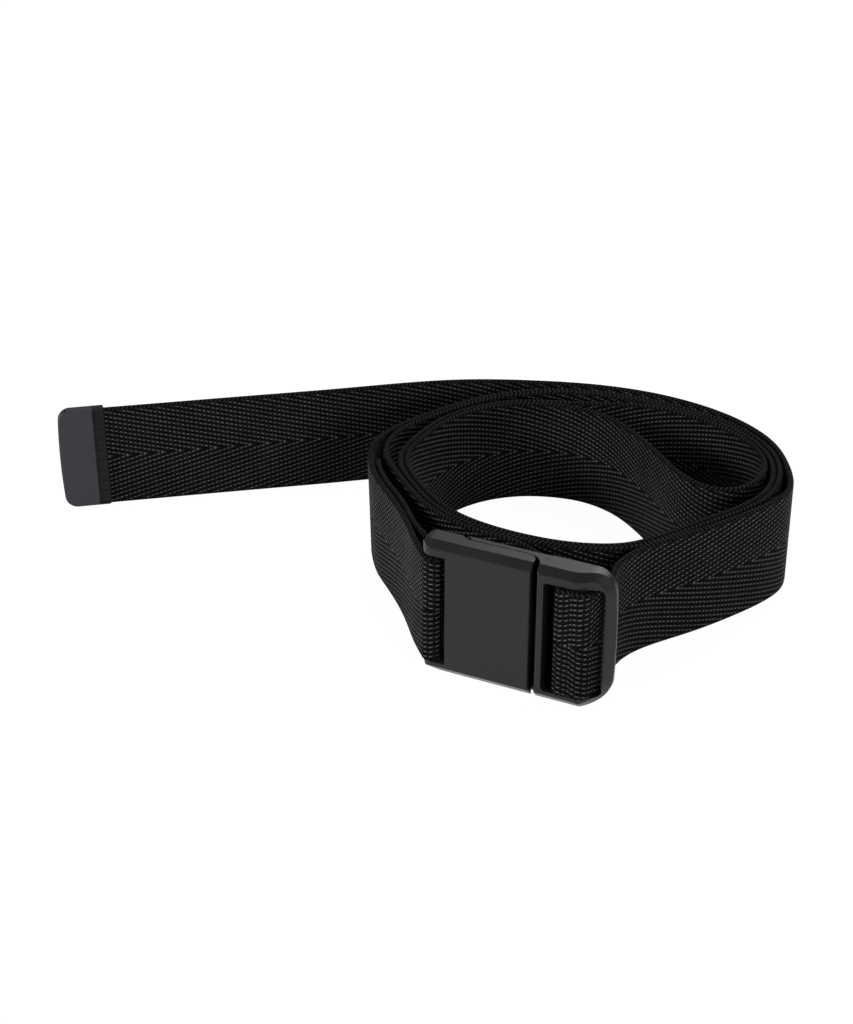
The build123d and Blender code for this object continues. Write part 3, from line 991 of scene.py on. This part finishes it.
@dataclass
class Buckle:
    """The buckle's two halves, the lock inside them and the tip cap."""

    shell: MouldedPlastic = MouldedPlastic("buckle_plastic", (0.0105, 0.0105, 0.0115))
    cap: MouldedPlastic = MouldedPlastic("cap_plastic", (0.030, 0.031, 0.036), roughness=0.5)
    plate: NickelPlate = NickelPlate()
    band_width: float = 4.2

    def band_end(self) -> float:
        """Where the rough band at the cap's mouth ends.

        Returns:
            The distance along the band's heading, in metres.
        """
        along = Vector(self.cap.band_heading)
        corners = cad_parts["tip_cap"].data.vertices
        return min(along.dot(corner.co) for corner in corners) + self.band_width * MM

    def dress(self) -> None:
        """Gives each carried-over solid its finish."""
        shell, plate = self.shell.make(), self.plate.make()
        cap = replace(self.cap, band=self.band_end()).make()
        for name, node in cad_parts.items():
            if name.startswith("strap"):
                continue
            material = shell
            if name == "tip_cap":
                material = cap
            elif "magnet" in name and "cap" not in name:
                material = plate
            node.data.materials.clear()
            node.data.materials.append(material)
            log.info("%s: %s", name, material.name)


# ---------------------------------------------------------------------- studio

@dataclass(frozen=True)
class Softbox:
    """A square area light."""

    name: str
    place: tuple[float, float, float]
    size: float
    power: float

    def build(self, target: Vector) -> None:
        """Hangs the light.

        Args:
            target: the place that it faces.
        """
        bpy.ops.object.light_add(type="AREA", location=self.place)
        lamp = bpy.context.object
        lamp.name = f"softbox_{self.name}"
        lamp.data.size = self.size
        lamp.data.energy = self.power
        aim = target - Vector(self.place)
        lamp.rotation_euler = aim.to_track_quat("-Z", "Y").to_euler()


@dataclass
class Studio:
    """Pale floor, soft light and the camera, in metres and degrees."""

    camera_place: Vector = field(default_factory=lambda: Vector((0.1769, -0.4834, 0.3661)))
    azimuth: float = 25.0
    pitch: float = 30.07
    focal_share: float = 2000 / 1024
    sensor: float = 36.0
    near_clip: float = 0.01
    floor_level: float = -0.00096
    floor_size: float = 12.0
    paper: Colour = (0.85, 0.85, 0.85)
    paper_roughness: float = 0.9
    paper_specular: float = 0.1
    glow: float = 1.06
    glow_share: float = 0.92
    surroundings: float = 0.12
    target: Vector = field(default_factory=lambda: Vector((-0.04, 0.06, 0.02)))
    softboxes: tuple[Softbox, ...] = (
        Softbox("top", (0.1, 0.9, 1.05), 1.2, 17.5),
        Softbox("key", (-0.9, -0.8, 0.55), 0.3, 9.0),
        Softbox("right", (0.9, -0.8, 0.5), 0.3, 5.0),
    )

    def build(self) -> None:
        """Sets up floor, lights, world and camera."""
        self.floor()
        for softbox in self.softboxes:
            softbox.build(self.target)
        self.world()
        self.camera()
        bpy.context.scene.view_settings.view_transform = "Standard"

    def floor(self) -> None:
        """A large pale floor that shows white and keeps a faint shadow."""
        bpy.ops.mesh.primitive_plane_add(
            size=self.floor_size, location=(0, 0, self.floor_level)
        )
        floor = bpy.context.object
        floor.name = "studio_floor"
        paper = Finish("studio_paper")
        paper.dress(
            Base_Color=(*self.paper, 1.0),
            Roughness=self.paper_roughness,
            Specular_IOR_Level=self.paper_specular,
        )
        path = paper.node("ShaderNodeLightPath")
        seen = paper.signal(path, "Is Camera Ray")
        for kind in ("Is Glossy Ray", "Is Transmission Ray"):
            seen = seen.at_least(paper.signal(path, kind))
        glow = paper.node("ShaderNodeEmission", sockets={
            "Color": (1.0, 1.0, 1.0, 1.0), "Strength": self.glow,
        })
        paper.show(paper.node("ShaderNodeMixShader", sockets={
            0: seen * self.glow_share, 1: paper.shader.outputs[0], 2: glow.outputs[0],
        }))
        floor.data.materials.append(paper.material)

    def world(self) -> None:
        """Even, dim surroundings that look white to the camera."""
        world = bpy.data.worlds.new("studio_world")
        bpy.context.scene.world = world
        world.use_nodes = True
        sky = Graph(world.node_tree)
        path = sky.node("ShaderNodeLightPath")
        shown = sky.node("ShaderNodeBackground", sockets={
            "Color": (1.0, 1.0, 1.0, 1.0), "Strength": 1.0,
        })
        lit = sky.node("ShaderNodeBackground", sockets={"Strength": self.surroundings})
        mix = sky.node("ShaderNodeMixShader", sockets={
            0: sky.signal(path, "Is Camera Ray"), 1: lit.outputs[0], 2: shown.outputs[0],
        })
        sky.node("ShaderNodeOutputWorld", sockets={"Surface": mix.outputs[0]})

    def camera(self) -> None:
        """The camera, level sideways and pitched down."""
        bpy.ops.object.camera_add(location=self.camera_place)
        camera = bpy.context.object
        camera.name = "studio_camera"
        turn, tilt = math.radians(self.azimuth), math.radians(self.pitch)
        ahead = Vector((
            -math.sin(turn) * math.cos(tilt), math.cos(turn) * math.cos(tilt), -math.sin(tilt)
        ))
        camera.rotation_euler = ahead.to_track_quat("-Z", "Y").to_euler()
        camera.data.sensor_fit = "VERTICAL"
        camera.data.sensor_height = self.sensor
        camera.data.lens = self.focal_share * self.sensor
        camera.data.clip_start = self.near_clip
        bpy.context.scene.camera = camera


def main() -> None:
    """Builds the studio, the webbing and the buckle."""
    logging.basicConfig(level=logging.INFO, format="%(name)s: %(message)s")
    bpy.ops.object.select_all(action="DESELECT")
    Studio().build()
    Webbing().dress(WovenPolyester().make())
    Buckle().dress()


if __name__ == "__main__":
    main()
